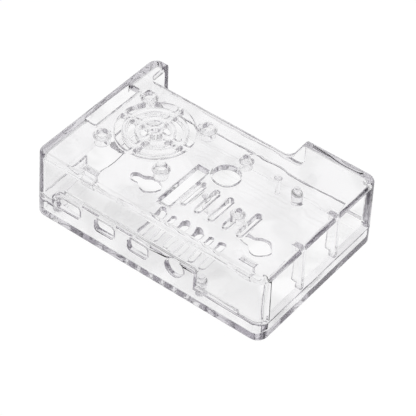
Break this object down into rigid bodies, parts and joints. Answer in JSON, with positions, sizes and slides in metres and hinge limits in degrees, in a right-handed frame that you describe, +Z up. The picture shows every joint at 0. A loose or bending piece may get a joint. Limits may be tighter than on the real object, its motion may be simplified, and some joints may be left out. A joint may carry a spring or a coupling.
{
  "type": "single board computer case",
  "caption": "Clear two-piece moulded case with a lift-off lid, ring fan grille, camera place, ribbon slots, header notch, socket windows and raised port wall.",
  "frame": {"origin": "middle of the bottom face, on the surface that the case stands on", "axes": "+X along the length towards the socket windows, +Y towards the pin header notch, +Z up"},
  "size_m": [0.091, 0.061, 0.027],
  "materials": {
    "clear_plastic": "clear colourless moulded plastic, polished"
  },
  "bodies": {
    "tray": {"bottom_shell": "clear_plastic"},
    "lid": {"top_cover": "clear_plastic"}
  },
  "joints": [
    {"name": "lid_lift", "type": "slide", "parent": "tray", "child": "lid", "axis": [0, 0, 1], "range_m": [0, 0.04]}
  ]
}
